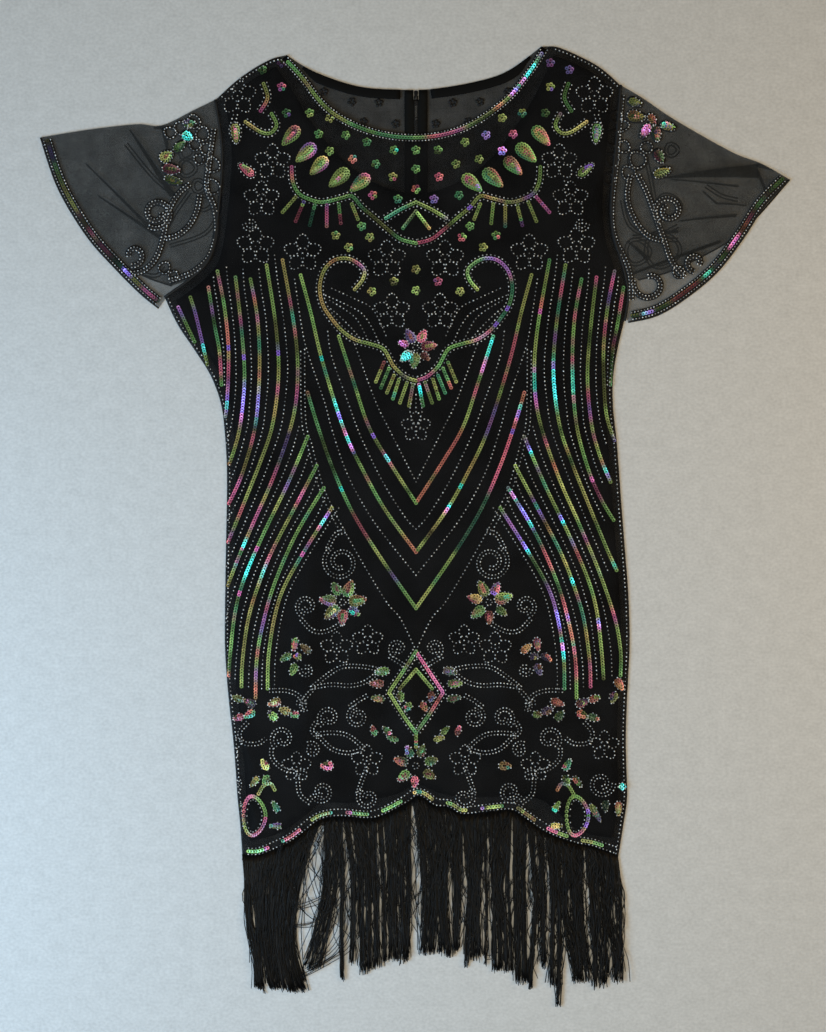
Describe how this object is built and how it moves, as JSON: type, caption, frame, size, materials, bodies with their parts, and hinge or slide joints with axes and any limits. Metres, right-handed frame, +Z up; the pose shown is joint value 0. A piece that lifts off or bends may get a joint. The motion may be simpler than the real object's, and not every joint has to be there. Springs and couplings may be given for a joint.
{
  "type": "flapper dress",
  "caption": "Beaded black net flapper dress with flutter sleeves and a fringed hem, laid flat and face up, with a zip at the back.",
  "frame": {"origin": "centre of the laid dress's bounding box on the surface it lies on", "axes": "+Y towards the neck, +X towards the sleeve at the viewer's right, +Z up from the surface, out of the dress's front"},
  "size_m": [0.7486, 0.96, 0.0085],
  "materials": {
    "net_front": "fine black net embroidered with iridescent sequins and glass beads",
    "net_back": "fine black net, matt",
    "lining": "smooth black knit slip lining, low sheen",
    "binding": "folded black lining strip, matt",
    "zip_tape": "woven black tape, matt",
    "zip_metal": "black enamelled metal, satin",
    "net_sleeve": "sheer black net, matt",
    "fringe": "black rayon fringe, soft sheen"
  },
  "bodies": {
    "garment": {"front_panel": "net_front", "back_left": "net_back", "back_right": "net_back", "lining_front": "lining", "lining_back_left": "lining", "lining_back_right": "lining", "neck_binding_front": "binding", "neck_binding_back_left": "binding", "neck_binding_back_right": "binding", "zip_tape_left": "zip_tape", "zip_tape_right": "zip_tape", "zip_slider": "zip_metal", "sleeve_left": "net_sleeve", "sleeve_right": "net_sleeve", "fringe_front": "fringe", "fringe_back": "fringe"},
    "zip_pull": {"zip_pull": "zip_metal"}
  },
  "joints": [
    {"name": "zip_pull_hinge", "type": "hinge", "parent": "garment", "child": "zip_pull", "pos_m": [0.0008, 0.4295, 0.0005], "axis": [1, 0, 0], "range_deg": [0, 150]}
  ]
}
